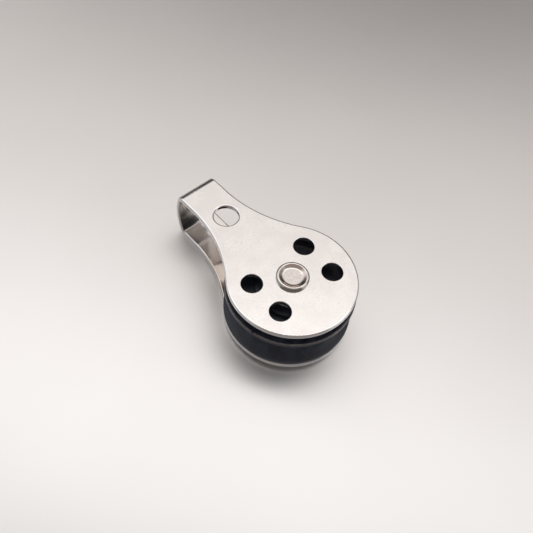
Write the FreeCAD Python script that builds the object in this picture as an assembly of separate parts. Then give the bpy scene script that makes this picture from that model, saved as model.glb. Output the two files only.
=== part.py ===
"""Single sheave block: a U-bent stainless strap, a riveted axle and one grooved sheave.

Frame, in millimetres: the origin is the centre of the sheave on its axle, +Z runs along the
axle towards the dished rivet head, and +Y runs up the neck to the head of the strap. The block
lies on its side, so the sheave has slid down its axle to the lower cheek.
"""
import FreeCAD
import Part
import math
import os

# Strap: one sheet folded into a U, with a round cheek at the end of each leg
SHEET = 1.2
CHEEK_RADIUS = 15.0
CLEAR_WIDTH_AT_AXLE = 12.3      # between the two cheeks, on the axle's line
SPLAY = math.radians(0.83)      # each leg leans out by this much, away from the head
HEAD_HALF_WIDTH = 5.2
NECK_RADIUS = 33.0              # hollow flank between the cheek and the head
HEAD_END = 35.9                 # how far the fold reaches beyond the axle
FOLD_BULGE_RADIUS = 16.4        # the end wall of the fold is slightly bowed
FOLD_LEAN = 0.6                 # its farthest point lies this much above the middle plane
FOLD_INNER_RADIUS = 0.9         # where the end wall turns into a leg
FOLD_CORNER_RADIUS = FOLD_INNER_RADIUS + SHEET
EDGE_ROUND = 0.4                # tumbled edges of the sheet
EYE_Y = 22.9
UPPER_EYE_RADIUS = 3.0
UPPER_EYE_EDGE_ROUND = 0.35
LOWER_EYE_RADIUS = 2.15         # the pin's end is thinner than its shank
LOWER_EYE_EDGE_ROUND = 0.15
DRAIN_HOLE_RADIUS = 2.45
DRAIN_CIRCLE_RADIUS = 9.3
DRAIN_ANGLES = (30, 150, 210, 330)
DRAIN_EDGE_ROUND = 0.15

# Axle: a rivet through a spacer sleeve
SHANK_RADIUS = 2.5
RIVET_HEAD_RADIUS = 3.8
RIVET_HEAD_HEIGHT = 0.9
RIVET_ROLL = 0.5                # outer edge of the raised rim
RIM_INNER_RADIUS = 3.25         # the rim's flat crest ends here and the dish begins
DISH_DEPTH = 0.5
DISH_SLOPE = math.radians(30)
DISH_LIP_RADIUS = 0.3
DISH_CORNER_RADIUS = 1.0
LOWER_HEAD_HEIGHT = 1.15
LOWER_HEAD_SIDE = 0.35          # upright part of the lower head, below its dome
SEAT_OVERLAP = 0.15             # the heads start inside the sheet, then are trimmed to it
SLEEVE_RADIUS = 3.5
SLEEVE_BORE = 2.53
SLEEVE_END_GAP = 0.06

# Sheave and its thrust washers
RUNNING_CLEARANCE = 0.06
SHEAVE_RADIUS = 15.2
RIM_HALF_WIDTH = 4.85
GROOVE_HALF_WIDTH = 3.6
GROOVE_DEPTH = 3.0
HUB_RADIUS = 7.4
HUB_HALF_WIDTH = 4.9
WEB_HALF_WIDTH = 3.7
WEB_INNER_RADIUS = 8.2
WEB_OUTER_RADIUS = 13.3
RIM_EDGE_ROUND = 0.25
GATE_ANGLE = 193.0              # degrees about the axle, from +X
GATE_RADIUS = 0.35
WASHER_RADIUS = 6.0
WASHER_BORE = 3.65
WASHER_THICKNESS = 0.3
WASHER_GAP = 0.06
SHEAVE_DROP = 0.7               # from midway between the cheeks towards the lower one

X_AXIS = FreeCAD.Vector(1, 0, 0)
Z_AXIS = FreeCAD.Vector(0, 0, 1)
ORIGIN = FreeCAD.Vector(0, 0, 0)
BEYOND = 4.0                    # how far the cutting shapes run past the part
ALIKE = 0.15                    # sizes this close belong to the same feature


def vec(x, y, z):
    return FreeCAD.Vector(x, y, z)


def line(start, end):
    return Part.makeLine(start, end)


def arc(start, middle, end):
    return Part.Arc(start, middle, end).toShape()


def face_of(edges):
    return Part.Face(Part.Wire(edges))


def cylinder_z(radius, half_length, x=0.0, y=0.0):
    return Part.makeCylinder(radius, 2 * half_length, vec(x, y, -half_length), Z_AXIS)


def fold_solid(inset, corner_radius):
    """The space inside the U, drawn in to `inset` below its outside, as wide as the cheeks."""
    bulge_radius = FOLD_BULGE_RADIUS - inset
    bulge_y = HEAD_END - FOLD_BULGE_RADIUS
    slope = math.tan(SPLAY)
    half_at_axle = CLEAR_WIDTH_AT_AXLE / 2 + (SHEET - inset) / math.cos(SPLAY)
    x = -(CHEEK_RADIUS + BEYOND)

    def on_leg(side, y):
        return vec(x, y, side * (half_at_axle - slope * y))

    def corner(side):
        """Where a leg's face, z = side * (half_at_axle - slope * y), meets the bowed wall's circle."""
        height = half_at_axle - side * FOLD_LEAN
        a = 1 + slope ** 2
        b = -2 * (bulge_y + height * slope)
        c = bulge_y ** 2 + height ** 2 - bulge_radius ** 2
        return on_leg(side, (-b + math.sqrt(b ** 2 - 4 * a * c)) / (2 * a))

    upper_corner = corner(1)
    lower_corner = corner(-1)
    upper_end = on_leg(1, -(CHEEK_RADIUS + BEYOND))
    lower_end = on_leg(-1, -(CHEEK_RADIUS + BEYOND))
    end_wall = arc(upper_corner, vec(x, bulge_y + bulge_radius, FOLD_LEAN), lower_corner)
    outline = [line(upper_end, upper_corner), end_wall, line(lower_corner, lower_end),
               line(lower_end, upper_end)]
    block = face_of(outline).extrude(X_AXIS * (-2 * x))
    corners = []
    for edge in block.Edges:
        middle = edge.CenterOfMass
        for point in (upper_corner, lower_corner):
            if math.hypot(middle.y - point.y, middle.z - point.z) < 0.01:
                corners.append(edge)
    return block.makeFillet(corner_radius, corners)


def outline_prism():
    """The strap's plan outline: cheek circle, hollow neck flanks and parallel head."""
    centre_x = HEAD_HALF_WIDTH + NECK_RADIUS
    centre_y = math.sqrt((CHEEK_RADIUS + NECK_RADIUS) ** 2 - centre_x ** 2)
    scale = CHEEK_RADIUS / (CHEEK_RADIUS + NECK_RADIUS)
    tangent_x = centre_x * scale
    tangent_y = centre_y * scale
    mid_angle = (math.pi + math.atan2(centre_y, centre_x) + math.pi) / 2
    flank_x = centre_x + NECK_RADIUS * math.cos(mid_angle)
    flank_y = centre_y + NECK_RADIUS * math.sin(mid_angle)
    z = -(CLEAR_WIDTH_AT_AXLE / 2 + SHEET + BEYOND)
    top_y = HEAD_END + BEYOND
    edges = [
        arc(vec(-tangent_x, tangent_y, z), vec(0, -CHEEK_RADIUS, z), vec(tangent_x, tangent_y, z)),
        arc(vec(tangent_x, tangent_y, z), vec(flank_x, flank_y, z),
            vec(HEAD_HALF_WIDTH, centre_y, z)),
        line(vec(HEAD_HALF_WIDTH, centre_y, z), vec(HEAD_HALF_WIDTH, top_y, z)),
        line(vec(HEAD_HALF_WIDTH, top_y, z), vec(-HEAD_HALF_WIDTH, top_y, z)),
        line(vec(-HEAD_HALF_WIDTH, top_y, z), vec(-HEAD_HALF_WIDTH, centre_y, z)),
        arc(vec(-HEAD_HALF_WIDTH, centre_y, z), vec(-flank_x, flank_y, z),
            vec(-tangent_x, tangent_y, z)),
    ]
    return face_of(edges).extrude(Z_AXIS * (-2 * z))


def plain_strap():
    """The folded sheet cut to its outline, before its edges are rounded and its holes punched."""
    outside = fold_solid(0.0, FOLD_CORNER_RADIUS)
    inside = fold_solid(SHEET, FOLD_INNER_RADIUS)
    return outside.cut(inside).common(outline_prism())


def hole_rims(body, x, y, radius):
    """The round edges of the holes of that radius at (x, y), on both faces of both cheeks."""
    rims = []
    for edge in body.Edges:
        box = edge.BoundBox
        off_axis = math.hypot(box.Center.x - x, box.Center.y - y)
        if off_axis < ALIKE and abs(box.XLength - 2 * radius) < ALIKE:
            rims.append(edge)
    return rims


def strap():
    body = plain_strap()
    rim_edges = []
    for edge in body.Edges:
        box = edge.BoundBox
        across_fold = box.XLength > 1.9 * HEAD_HALF_WIDTH and box.YLength < 0.01
        through_sheet = edge.Length < 1.1 * SHEET
        if not across_fold and not through_sheet:
            rim_edges.append(edge)
    body = body.makeFillet(EDGE_ROUND, rim_edges)
    reach = CLEAR_WIDTH_AT_AXLE
    body = body.cut(cylinder_z(SHANK_RADIUS, reach))
    body = body.cut(Part.makeCylinder(UPPER_EYE_RADIUS, reach, vec(0, EYE_Y, 0), Z_AXIS))
    body = body.makeFillet(UPPER_EYE_EDGE_ROUND, hole_rims(body, 0, EYE_Y, UPPER_EYE_RADIUS))
    open_holes = [(0, EYE_Y, LOWER_EYE_RADIUS, LOWER_EYE_EDGE_ROUND)]
    for angle in DRAIN_ANGLES:
        turn = math.radians(angle)
        open_holes.append((DRAIN_CIRCLE_RADIUS * math.cos(turn), DRAIN_CIRCLE_RADIUS * math.sin(turn),
                           DRAIN_HOLE_RADIUS, DRAIN_EDGE_ROUND))
    for x, y, radius, edge_round in open_holes:
        body = body.cut(cylinder_z(radius, reach, x, y))
        body = body.makeFillet(edge_round, hole_rims(body, x, y, radius))
    return body


def revolve(edges):
    """A solid of revolution about the axle, from a profile in the XZ plane."""
    return face_of(edges).revolve(ORIGIN, Z_AXIS, 360)


def rz(radius, height):
    return vec(radius, 0, height)


def cap(pole, edge_radius, edge_height):
    """An arc from the axle's line out to a rim, centred on that line, so that it turns into part of a ball."""
    rise = edge_height - pole
    ball_radius = (edge_radius ** 2 + rise ** 2) / (2 * rise)
    half_turn = math.asin(edge_radius / ball_radius) / 2
    middle = rz(ball_radius * math.sin(half_turn), pole + ball_radius * (1 - math.cos(half_turn)))
    return arc(rz(0, pole), middle, rz(edge_radius, edge_height))


def round_turn(centre_radius, centre_height, radius, start, end):
    """An arc of the profile about a centre; the angles are in radians from the outward direction."""
    points = []
    for angle in (start, (start + end) / 2, end):
        points.append(rz(centre_radius + radius * math.cos(angle),
                         centre_height + radius * math.sin(angle)))
    return arc(*points)


def rivet(strap_body):
    """Round shank, low domed head below, dished head with a raised rim above, seated on the cheeks."""
    seat = CLEAR_WIDTH_AT_AXLE / 2 + SHEET
    under = seat - SEAT_OVERLAP
    crest = seat + RIVET_HEAD_HEIGHT
    dish_floor = crest - DISH_DEPTH
    upright = math.pi / 2
    roll_radius = RIVET_HEAD_RADIUS - RIVET_ROLL
    roll = round_turn(roll_radius, crest - RIVET_ROLL, RIVET_ROLL, 0, upright)
    lip = round_turn(RIM_INNER_RADIUS, crest - DISH_LIP_RADIUS, DISH_LIP_RADIUS,
                     upright, upright + DISH_SLOPE)
    lip_end = lip.Vertexes[-1].Point
    corner_rise = DISH_CORNER_RADIUS * (1 - math.cos(DISH_SLOPE))
    slope_run = (lip_end.z - dish_floor - corner_rise) / math.tan(DISH_SLOPE)
    floor_radius = lip_end.x - slope_run - DISH_CORNER_RADIUS * math.sin(DISH_SLOPE)
    corner = round_turn(floor_radius, dish_floor + DISH_CORNER_RADIUS, DISH_CORNER_RADIUS,
                        DISH_SLOPE - upright, -upright)
    corner_start = corner.Vertexes[0].Point
    low_side = -(seat + LOWER_HEAD_SIDE)
    low_pole = -(seat + LOWER_HEAD_HEIGHT)
    profile = [
        cap(low_pole, RIVET_HEAD_RADIUS, low_side),
        line(rz(RIVET_HEAD_RADIUS, low_side), rz(RIVET_HEAD_RADIUS, -under)),
        line(rz(RIVET_HEAD_RADIUS, -under), rz(SHANK_RADIUS, -under)),
        line(rz(SHANK_RADIUS, -under), rz(SHANK_RADIUS, under)),
        line(rz(SHANK_RADIUS, under), rz(RIVET_HEAD_RADIUS, under)),
        line(rz(RIVET_HEAD_RADIUS, under), rz(RIVET_HEAD_RADIUS, crest - RIVET_ROLL)),
        roll,
        line(rz(roll_radius, crest), rz(RIM_INNER_RADIUS, crest)),
        lip,
        line(lip_end, corner_start),
        corner,
        line(rz(floor_radius, dish_floor), rz(0, dish_floor)),
        line(rz(0, dish_floor), rz(0, low_pole)),
    ]
    return revolve(profile).cut(strap_body)


def sleeve():
    half = CLEAR_WIDTH_AT_AXLE / 2 - SLEEVE_END_GAP
    return cylinder_z(SLEEVE_RADIUS, half).cut(cylinder_z(SLEEVE_BORE, half + BEYOND))


def sheave():
    """Hub, recessed webs and a round-bottomed rope groove between two narrow rims."""
    bore = SLEEVE_RADIUS + RUNNING_CLEARANCE
    body = cylinder_z(SHEAVE_RADIUS, RIM_HALF_WIDTH)
    hub = cylinder_z(HUB_RADIUS, HUB_HALF_WIDTH)
    groove_outer = SHEAVE_RADIUS + BEYOND
    groove = revolve([
        arc(rz(SHEAVE_RADIUS, GROOVE_HALF_WIDTH), rz(SHEAVE_RADIUS - GROOVE_DEPTH, 0),
            rz(SHEAVE_RADIUS, -GROOVE_HALF_WIDTH)),
        line(rz(SHEAVE_RADIUS, -GROOVE_HALF_WIDTH), rz(groove_outer, -GROOVE_HALF_WIDTH)),
        line(rz(groove_outer, -GROOVE_HALF_WIDTH), rz(groove_outer, GROOVE_HALF_WIDTH)),
        line(rz(groove_outer, GROOVE_HALF_WIDTH), rz(SHEAVE_RADIUS, GROOVE_HALF_WIDTH)),
    ])
    body = body.cut(groove)
    web_ring = cylinder_z(WEB_OUTER_RADIUS, RIM_HALF_WIDTH + BEYOND)
    web_ring = web_ring.cut(cylinder_z(WEB_INNER_RADIUS, RIM_HALF_WIDTH + 2 * BEYOND))
    web_ring = web_ring.cut(cylinder_z(SHEAVE_RADIUS, WEB_HALF_WIDTH))
    body = body.cut(web_ring).fuse(hub).cut(cylinder_z(bore, RIM_HALF_WIDTH + BEYOND))
    rounded = []
    for edge in body.Edges:
        curve = edge.Curve
        if isinstance(curve, Part.Circle) and curve.Radius > WEB_OUTER_RADIUS - 0.01:
            rounded.append(edge)
    body = body.makeFillet(RIM_EDGE_ROUND, rounded)
    turn = math.radians(GATE_ANGLE)
    gate = Part.makeCylinder(GATE_RADIUS, BEYOND, vec(SHEAVE_RADIUS * math.cos(turn),
                             SHEAVE_RADIUS * math.sin(turn), RIM_HALF_WIDTH - GATE_RADIUS), Z_AXIS)
    return body.cut(gate)


def washer(side):
    """A flat thrust washer between the hub and the cheek on that side (+1 upper, -1 lower)."""
    near = side * (HUB_HALF_WIDTH + WASHER_GAP)
    ring = Part.makeCylinder(WASHER_RADIUS, WASHER_THICKNESS, vec(0, 0, near), Z_AXIS * side)
    return ring.cut(cylinder_z(WASHER_BORE, CLEAR_WIDTH_AT_AXLE))


def raised(shape):
    """A piece drawn about the middle of the strap, set in its place above the sheave's middle."""
    return shape.translated(Z_AXIS * SHEAVE_DROP)


def build():
    cheeks = strap()
    return {
        "strap": raised(cheeks),
        "rivet_axle": raised(rivet(cheeks)),
        "axle_sleeve": raised(sleeve()),
        "sheave": sheave(),
        "thrust_washer_upper": washer(1),
        "thrust_washer_lower": washer(-1),
    }


os.makedirs("parts", exist_ok=True)
for name, shape in build().items():
    shape.exportStep(os.path.join("parts", name + ".step"))
    print(name, "valid" if shape.isValid() else "INVALID", len(shape.Solids), "solid",
          round(shape.Volume, 2), "mm3")
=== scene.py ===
import math

import bpy
from mathutils import Matrix, Vector


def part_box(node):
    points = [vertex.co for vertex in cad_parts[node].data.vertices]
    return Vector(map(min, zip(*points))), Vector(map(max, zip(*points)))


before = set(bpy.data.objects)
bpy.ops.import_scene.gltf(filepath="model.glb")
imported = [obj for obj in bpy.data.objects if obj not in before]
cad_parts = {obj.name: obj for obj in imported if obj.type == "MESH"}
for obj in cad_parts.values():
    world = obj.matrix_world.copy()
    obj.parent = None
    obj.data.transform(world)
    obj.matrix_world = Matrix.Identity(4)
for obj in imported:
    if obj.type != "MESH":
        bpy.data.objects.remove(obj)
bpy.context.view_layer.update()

MM = 0.001

# Places on the pieces where a finish changes, in millimetres
STRAP_MIDDLE = 0.7              # height of the strap's middle plane over the sheave's
INNER_FACES = (6.35, 6.2)       # from the strap's middle plane: the sheet's outside, and its inner faces
NECK_PAINTED_SHADE_FADE = (18.0, 29.0)       # along +Y, the painted shade on the inner faces fades from dark brown to grey between these
FOLD_START = (33.4, 34.6)       # along +Y, the fold is duller than the legs beyond here
DISH_PAINTED_REFLECTION_RING = (2.75, 0.8)         # radius and half width of the painted warm reflection ring on the rivet's dish
RIVET_EDGE_PAINTED_SHADE = (3.6, 3.78)       # radii between which painted shade darkens the rivet head towards its edge, where it meets the cheek
RIM_FACE = (14.9, 15.12)        # radii between which the sheave's rims start to be scuffed and painted with a highlight
RIM_CORNER = (4.2, 4.75)        # heights between which a rim's outer corner is scuffed and painted with a highlight
GROOVE_CORNER = (3.7, 0.2)      # height and half width of the scuff and painted highlight where a rim meets the groove

# Camera: where it looks, from where, and its lens. Angles are in degrees
CAMERA_AIM = Vector((1.21, 9.21, 0.7)) * MM
CAMERA_DISTANCE = 153.6 * MM
CAMERA_AZIMUTH = 48.63          # 0 looks along +Y, and 90 along +X
CAMERA_ELEVATION = 55.74
CAMERA_ROLL = 7.77
CAMERA_LENS = 43.41             # millimetres
SENSOR_WIDTH = 36               # millimetres
NEAREST_SEEN = 0.01

# Floor
FLOOR_REACH = 6.0
FLOOR_GAP = 0.02 * MM           # between the floor and the rivet head that stands on it

# Studio surroundings: a wide light panel above and beyond the block, in a dim room. The light that
# comes from each angle above the far horizon, in degrees, over the zenith and down behind the camera.
# Below the horizon it is the same again, mirrored
PANEL = (
    (0, (0.040, 0.037, 0.037)),
    (26, (0.050, 0.046, 0.046)),
    (33, (0.08, 0.075, 0.073)),
    (38, (0.30, 0.28, 0.27)),
    (43.5, (0.97, 0.91, 0.875)),
    (48, (0.95, 0.90, 0.87)),
    (54, (1.03, 0.965, 0.93)),
    (60, (1.20, 1.14, 1.105)),
    (67, (1.52, 1.48, 1.45)),
    (75, (1.68, 1.66, 1.645)),
    (84, (1.58, 1.565, 1.55)),
    (92, (0.62, 0.57, 0.53)),
    (100, (0.34, 0.30, 0.28)),
    (130, (0.31, 0.285, 0.265)),
    (180, (0.22, 0.22, 0.23)),
)
PANEL_SIDE = (0.45, 0.85)       # sine of the angle off to either side where the panel starts and ends
ROOM = (0.22, 0.23, 0.25)       # beyond the panel's sides

# Soft lights: name, azimuth, elevation, size, watts, colour
LIGHT_DISTANCE = 0.6
LIGHT_AIM = Vector((0, 0.01, 0))
LIGHTS = (
    ("left_fill", -48, 30, (0.9, 0.5), 0.5, (0.95, 0.97, 1.0)),
    ("right_fill", 148, 26, (0.35, 0.25), 0.33, (1.0, 0.97, 0.94)),
)


class Nodes:
    """A material's node tree, with short ways to add nodes and join them."""

    def __init__(self, name, **settings):
        self.material = bpy.data.materials.new(name)
        self.material.use_nodes = True
        self.tree = self.material.node_tree
        self.shader = self.tree.nodes["Principled BSDF"]
        for socket, value in settings.items():
            self.shader.inputs[socket.replace("_", " ")].default_value = value
        self.place = self.node("ShaderNodeTexCoord").outputs["Object"]

    def node(self, kind, inputs=None, **settings):
        made = self.tree.nodes.new(kind)
        for name, value in settings.items():
            setattr(made, name, value)
        for key, value in (inputs or {}).items():
            self.put(made.inputs[key], value)
        return made

    def put(self, socket, value):
        if isinstance(value, bpy.types.NodeSocket):
            self.tree.links.new(value, socket)
        else:
            socket.default_value = value

    def maths(self, operation, *values, clamp=False):
        made = self.node("ShaderNodeMath", operation=operation, use_clamp=clamp)
        for socket, value in zip(made.inputs, values):
            self.put(socket, value)
        return made.outputs[0]

    def in_mm(self, stretch=(1, 1, 1), turn=0.0):
        """The place on the piece in millimetres, turned about the axle and stretched."""
        turned = self.node("ShaderNodeVectorRotate", {"Vector": self.place, "Angle": turn},
                           rotation_type="Z_AXIS").outputs[0]
        scale = tuple(s / MM for s in stretch)
        return self.node("ShaderNodeVectorMath", {0: turned, 1: scale}, operation="MULTIPLY").outputs[0]

    def noise(self, place, scale=1.0, detail=2.0, roughness=0.5, distortion=0.0):
        inputs = {"Vector": place, "Scale": scale, "Detail": detail, "Roughness": roughness,
                  "Distortion": distortion}
        return self.node("ShaderNodeTexNoise", inputs).outputs["Fac"]

    def ramp(self, value, low, high, to_low=0.0, to_high=1.0):
        """value from low..high to to_low..to_high, clamped, eased at both ends."""
        inputs = {"Value": value, "From Min": low, "From Max": high, "To Min": to_low, "To Max": to_high}
        return self.node("ShaderNodeMapRange", inputs, interpolation_type="SMOOTHSTEP").outputs[0]

    def band(self, value, centre, half_width):
        """1 where value is at centre, falling to 0 at half_width away."""
        off = self.maths("ABSOLUTE", self.maths("SUBTRACT", value, centre))
        return self.ramp(off, 0.0, half_width, 1.0, 0.0)

    def mix(self, share, first, second):
        made = self.node("ShaderNodeMix", data_type="RGBA")
        self.put(made.inputs["Factor"], share)
        self.put(made.inputs["A"], first)
        self.put(made.inputs["B"], second)
        return made.outputs["Result"]

    def bump(self, height, strength, depth_mm, under=None):
        inputs = {"Height": height, "Strength": strength, "Distance": depth_mm * MM}
        if under is not None:
            inputs["Normal"] = under
        return self.node("ShaderNodeBump", inputs).outputs[0]

    def use(self, **sockets):
        for name, value in sockets.items():
            self.put(self.shader.inputs[name.replace("_", " ")], value)

    def radius_mm(self):
        """Distance from the axle, in millimetres."""
        parts = self.node("ShaderNodeSeparateXYZ", {0: self.place})
        flat = self.node("ShaderNodeCombineXYZ", {"X": parts.outputs[0], "Y": parts.outputs[1]})
        length = self.node("ShaderNodeVectorMath", {0: flat.outputs[0]}, operation="LENGTH")
        return self.maths("DIVIDE", length.outputs["Value"], MM)

    def along_mm(self, axis, start=0.0):
        """Place along an axis, "X", "Y" or "Z", counted from a start on it, in millimetres."""
        parts = self.node("ShaderNodeSeparateXYZ", {0: self.place})
        return self.maths("SUBTRACT", self.maths("DIVIDE", parts.outputs[axis], MM), start)

    def height_mm(self, middle=0.0):
        """Distance from a level middle plane to either side, in millimetres."""
        return self.maths("ABSOLUTE", self.along_mm("Z", middle))

    def scratches(self, turn, spacing, length, seed):
        """Thin broken lines that run at an angle; 1 on a line and 0 elsewhere."""
        half_width = 0.02
        place = self.in_mm((1 / spacing, 1 / length, 1 / spacing), turn)
        shifted = self.node("ShaderNodeVectorMath", {0: place, 1: (seed, 3 * seed, 7 * seed)}).outputs[0]
        line = self.band(self.noise(shifted, 1.0, 0.0), 0.5, half_width)
        patch = self.noise(shifted, 0.35, 1.0)
        return self.maths("MULTIPLY", line, self.ramp(patch, 0.52, 0.6))


def strap_steel():
    """Satin stainless sheet: fine grain, orange peel from tumbling, cloudy polish, light scratches.
    The inner faces are polished brighter and carry painted shade, dark brown near the neck and greyer
    towards the head, and the fold is duller."""
    n = Nodes("satin_stainless", Metallic=1.0)
    grain = n.noise(n.in_mm((9.0, 0.5, 9.0)), 1.0, 4.0, 0.6)
    clouds = n.noise(n.in_mm(), 0.22, 3.0)
    peel = n.noise(n.in_mm(), 1.7, 3.0, 0.6)
    speck = n.noise(n.in_mm(), 3.4, 2.0, 0.7)
    marks = n.maths("MAXIMUM", n.scratches(0.35, 0.9, 9.0, 1.0), n.scratches(-0.9, 1.3, 7.0, 2.0))
    marks = n.maths("MAXIMUM", marks, n.scratches(1.3, 1.1, 8.0, 5.0))
    tone = n.mix(n.ramp(clouds, 0.3, 0.7), (0.80, 0.785, 0.775, 1), (0.85, 0.84, 0.83, 1))
    tone = n.mix(n.ramp(speck, 0.48, 0.7, 0.0, 0.5), tone, (0.69, 0.665, 0.65, 1))
    tone = n.mix(n.maths("MULTIPLY", marks, 0.08), tone, (0.6, 0.58, 0.57, 1))
    inside = n.ramp(n.height_mm(STRAP_MIDDLE), *INNER_FACES)
    # Painted shade: the inner faces between the cheeks are painted darker brown, deepest near the neck,
    # fading to grey towards the head
    inner_painted_shade = n.mix(n.ramp(clouds, 0.3, 0.7), (0.46, 0.405, 0.365, 1), (0.54, 0.48, 0.435, 1))
    inner_painted_shade = n.mix(n.ramp(n.along_mm("Y"), *NECK_PAINTED_SHADE_FADE), inner_painted_shade, (0.74, 0.71, 0.69, 1))
    tone = n.mix(inside, tone, inner_painted_shade)
    rough = n.maths("ADD", n.ramp(clouds, 0.25, 0.75, 0.13, 0.19), n.ramp(grain, 0.3, 0.7, -0.02, 0.02))
    rough = n.maths("ADD", rough, n.maths("MULTIPLY", marks, 0.12))
    rough = n.maths("MULTIPLY", rough, n.ramp(inside, 0.0, 1.0, 1.0, 0.55))
    rough = n.maths("ADD", rough, n.ramp(n.along_mm("Y"), *FOLD_START, 0.0, 0.12))
    relief = n.bump(peel, 0.3, 0.010)
    relief = n.bump(grain, 0.25, 0.002, relief)
    relief = n.bump(speck, 0.3, 0.005, relief)
    relief = n.bump(marks, -0.12, 0.003, relief)
    n.use(Base_Color=tone, Roughness=rough, Normal=relief)
    return n.material


def rivet_steel():
    """Polished rivet, uneven from the setting tool, with rings from turning, a painted warm reflection
    in a ring on its dish, and painted shade darkening its edge where its rim meets the cheek."""
    n = Nodes("polished_rivet", Metallic=1.0)
    radius = n.radius_mm()
    dents = n.noise(n.in_mm(), 0.8, 1.0, 0.5, 0.2)
    rings = n.noise(n.node("ShaderNodeCombineXYZ", {"X": radius}).outputs[0], 7.0, 2.0)
    smear = n.noise(n.in_mm(), 1.4, 3.0)
    tone = n.mix(n.ramp(smear, 0.35, 0.65), (0.68, 0.64, 0.61, 1), (0.63, 0.605, 0.59, 1))
    # Painted reflection: a warm, paler ring on the dish stands in for the warm surroundings it reflects
    tone = n.mix(n.maths("MULTIPLY", n.band(radius, *DISH_PAINTED_REFLECTION_RING), 0.7), tone, (0.78, 0.66, 0.58, 1))
    # Painted shade: the head is painted darker towards its edge where its rim meets the cheek
    tone = n.mix(n.ramp(radius, *RIVET_EDGE_PAINTED_SHADE, 0.0, 0.7), tone, (0.25, 0.20, 0.17, 1))
    rough = n.ramp(smear, 0.3, 0.7, 0.12, 0.24)
    relief = n.bump(dents, 0.6, 0.07)
    relief = n.bump(rings, 0.3, 0.006, relief)
    n.use(Base_Color=tone, Roughness=rough, Normal=relief)
    return n.material


def sleeve_steel():
    """Turned stainless tube."""
    n = Nodes("turned_stainless", Metallic=1.0)
    rings = n.noise(n.in_mm((0.3, 0.3, 6.0)), 1.0, 3.0)
    tone = n.mix(n.ramp(rings, 0.3, 0.7), (0.62, 0.61, 0.60, 1), (0.70, 0.69, 0.68, 1))
    n.use(Base_Color=tone, Roughness=n.ramp(rings, 0.3, 0.7, 0.26, 0.4), Normal=n.bump(rings, 0.5, 0.01))
    return n.material


def sheave_nylon():
    """Black moulded nylon with paler mottling; its rim edges are painted paler, partly as scuffs and
    partly as a painted highlight, more on the upper rim where the light falls.
    """
    n = Nodes("black_nylon")
    radius = n.radius_mm()
    height = n.height_mm()
    skin = n.noise(n.in_mm(), 7.0, 3.0)
    smudge = n.noise(n.in_mm(), 0.35, 3.0, 0.55)
    crumbs = n.noise(n.in_mm(), 3.2, 2.0, 0.6)
    rim = n.ramp(radius, *RIM_FACE)
    groove_corner = n.maths("MULTIPLY", n.band(height, *GROOVE_CORNER), 0.35)
    worn_and_lit_corners = n.maths("MAXIMUM", n.ramp(height, *RIM_CORNER), groove_corner)
    # Scuffs and painted highlight: the rim corners are painted paler, partly as wear and partly standing
    # in for the light their edges catch
    scuff_and_highlight = n.maths("MULTIPLY", n.maths("MULTIPLY", rim, worn_and_lit_corners), n.ramp(crumbs, 0.38, 0.6, 0.25, 1.0))
    # Painted highlight: the upper rim, where the light falls, is painted paler than the lower one
    scuff_and_highlight = n.maths("MULTIPLY", scuff_and_highlight, n.ramp(n.along_mm("Z"), -1.0, 1.0, 0.2, 1.0))
    tone = n.mix(n.ramp(smudge, 0.35, 0.7), (0.0115, 0.0140, 0.025, 1), (0.029, 0.035, 0.055, 1))
    tone = n.mix(n.ramp(crumbs, 0.5, 0.75, 0.0, 0.4), tone, (0.045, 0.051, 0.070, 1))
    tone = n.mix(scuff_and_highlight, tone, (0.22, 0.195, 0.18, 1))
    rough = n.maths("ADD", n.ramp(smudge, 0.3, 0.7, 0.34, 0.5), n.maths("MULTIPLY", scuff_and_highlight, 0.1))
    relief = n.bump(skin, 0.3, 0.012)
    n.use(Base_Color=tone, Roughness=rough, Normal=relief)
    return n.material


def washer_acetal():
    """Natural acetal, off white, with faint rub rings."""
    n = Nodes("natural_acetal")
    rings = n.noise(n.node("ShaderNodeCombineXYZ", {"X": n.radius_mm()}).outputs[0], 3.0, 2.0)
    haze = n.noise(n.in_mm(), 0.8, 2.0)
    tone = n.mix(n.ramp(haze, 0.3, 0.7), (0.60, 0.57, 0.51, 1), (0.68, 0.66, 0.61, 1))
    n.use(Base_Color=tone, Roughness=n.ramp(rings, 0.3, 0.7, 0.35, 0.55), Normal=n.bump(rings, 0.4, 0.01))
    return n.material


def floor_finish():
    """Pale satin metal, rubbed one way."""
    n = Nodes("pale_floor", Metallic=0.75, Roughness=0.38, Anisotropic=0.75)
    cloud = n.noise(n.in_mm(), 0.02, 2.0)
    n.use(Base_Color=n.mix(n.ramp(cloud, 0.3, 0.7), (0.80, 0.785, 0.775, 1), (0.82, 0.805, 0.795, 1)),
          Tangent=n.node("ShaderNodeTangent", direction_type="UV_MAP").outputs[0])
    return n.material


def add_floor():
    """A plane that the block rests on with its lower rivet head and the lower edge of its head end."""
    rivet_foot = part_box("rivet_axle")[0].z - FLOOR_GAP
    head_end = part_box("strap")[1].y
    strap_points = [v.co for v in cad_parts["strap"].data.vertices if v.co.y > 0.8 * head_end]
    slope = min((p.z - rivet_foot) / p.y for p in strap_points)
    mesh = bpy.data.meshes.new("floor")
    turn = math.radians(-CAMERA_AZIMUTH - CAMERA_ROLL)
    corners = [Matrix.Rotation(turn, 3, "Z") @ Vector((x * FLOOR_REACH, y * FLOOR_REACH, 0))
               for x, y in ((-1, -1), (1, -1), (1, 1), (-1, 1))]
    mesh.from_pydata(corners, [], [(0, 1, 2, 3)])
    layer = mesh.uv_layers.new(name="along")
    for corner, place in zip(layer.data, ((0, 0), (1, 0), (1, 1), (0, 1))):
        corner.uv = place
    floor = bpy.data.objects.new("floor", mesh)
    bpy.context.scene.collection.objects.link(floor)
    floor.location = (0, 0, rivet_foot)
    floor.rotation_euler = (math.atan(slope), 0, 0)
    mesh.materials.append(floor_finish())


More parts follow.
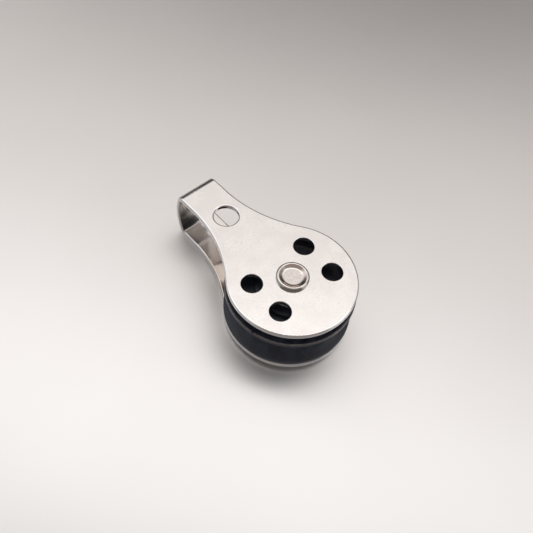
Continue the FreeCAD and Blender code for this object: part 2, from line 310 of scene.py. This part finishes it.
def direction(azimuth, elevation):
    """A unit vector from two angles in degrees; azimuth 0 is +Y and 90 is +X."""
    a = math.radians(azimuth)
    e = math.radians(elevation)
    return Vector((math.sin(a) * math.cos(e), math.cos(a) * math.cos(e), math.sin(e)))


def add_light(name, azimuth, elevation, size, watts, colour):
    data = bpy.data.lights.new(name, "AREA")
    data.shape = "RECTANGLE"
    data.size = size[0]
    data.size_y = size[1]
    data.energy = watts
    data.color = colour
    light = bpy.data.objects.new(name, data)
    bpy.context.scene.collection.objects.link(light)
    outward = direction(azimuth, elevation)
    light.location = LIGHT_AIM + outward * LIGHT_DISTANCE
    light.rotation_euler = outward.to_track_quat("Z", "Y").to_euler()


def add_world():
    """The light panel and the dim room round it."""
    world = bpy.data.worlds.new("studio")
    bpy.context.scene.world = world
    world.use_nodes = True
    tree = world.node_tree

    def node(kind, **settings):
        made = tree.nodes.new(kind)
        for name, value in settings.items():
            setattr(made, name, value)
        return made

    def maths(operation, *sources):
        made = node("ShaderNodeMath", operation=operation)
        for socket, source in zip(made.inputs, sources):
            tree.links.new(source, socket)
        return made

    place = node("ShaderNodeTexCoord").outputs["Generated"]

    def along(axis):
        dot = node("ShaderNodeVectorMath", operation="DOT_PRODUCT")
        dot.inputs[1].default_value = axis
        tree.links.new(place, dot.inputs[0])
        return dot.outputs["Value"]

    height = maths("ABSOLUTE", along((0, 0, 1)))
    angle = maths("ARCTAN2", height.outputs[0], along(direction(CAMERA_AZIMUTH, 0)))
    share = maths("DIVIDE", angle.outputs[0])
    share.inputs[1].default_value = math.pi
    ramp = node("ShaderNodeValToRGB")
    tree.links.new(share.outputs[0], ramp.inputs[0])
    stops = ramp.color_ramp.elements
    while len(stops) < len(PANEL):
        stops.new(0.5)
    for stop, (degrees, colour) in zip(stops, PANEL):
        stop.position = degrees / 180
        stop.color = (*colour, 1)
    side = maths("ABSOLUTE", along(direction(CAMERA_AZIMUTH + 90, 0)))
    edge = node("ShaderNodeMapRange", interpolation_type="SMOOTHSTEP")
    edge.inputs["From Min"].default_value = PANEL_SIDE[0]
    edge.inputs["From Max"].default_value = PANEL_SIDE[1]
    tree.links.new(side.outputs[0], edge.inputs["Value"])
    blend = node("ShaderNodeMix", data_type="RGBA")
    blend.inputs["B"].default_value = (*ROOM, 1)
    tree.links.new(edge.outputs["Result"], blend.inputs["Factor"])
    tree.links.new(ramp.outputs[0], blend.inputs["A"])
    tree.links.new(blend.outputs["Result"], tree.nodes["Background"].inputs["Color"])


def add_camera():
    """Looks down at the block, rolled about its own line of sight."""
    data = bpy.data.cameras.new("camera")
    data.sensor_width = SENSOR_WIDTH
    data.lens = CAMERA_LENS
    data.clip_start = NEAREST_SEEN
    camera = bpy.data.objects.new("camera", data)
    bpy.context.scene.collection.objects.link(camera)
    towards = direction(CAMERA_AZIMUTH, -CAMERA_ELEVATION)
    level = towards.cross(Vector((0, 0, 1))).normalized()
    right = Matrix.Rotation(-math.radians(CAMERA_ROLL), 3, towards) @ level
    up = right.cross(towards)
    axes = Matrix((right, up, -towards)).transposed()
    camera.matrix_world = Matrix.Translation(CAMERA_AIM - towards * CAMERA_DISTANCE) @ axes.to_4x4()
    bpy.context.scene.camera = camera


FINISHES = {
    "strap": strap_steel,
    "rivet_axle": rivet_steel,
    "axle_sleeve": sleeve_steel,
    "sheave": sheave_nylon,
    "thrust_washer_upper": washer_acetal,
    "thrust_washer_lower": washer_acetal,
}
for name, finish in FINISHES.items():
    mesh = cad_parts[name].data
    mesh.materials.clear()
    mesh.materials.append(finish())

add_floor()
add_world()
for light in LIGHTS:
    add_light(*light)
add_camera()
bpy.context.scene.view_settings.view_transform = "Standard"
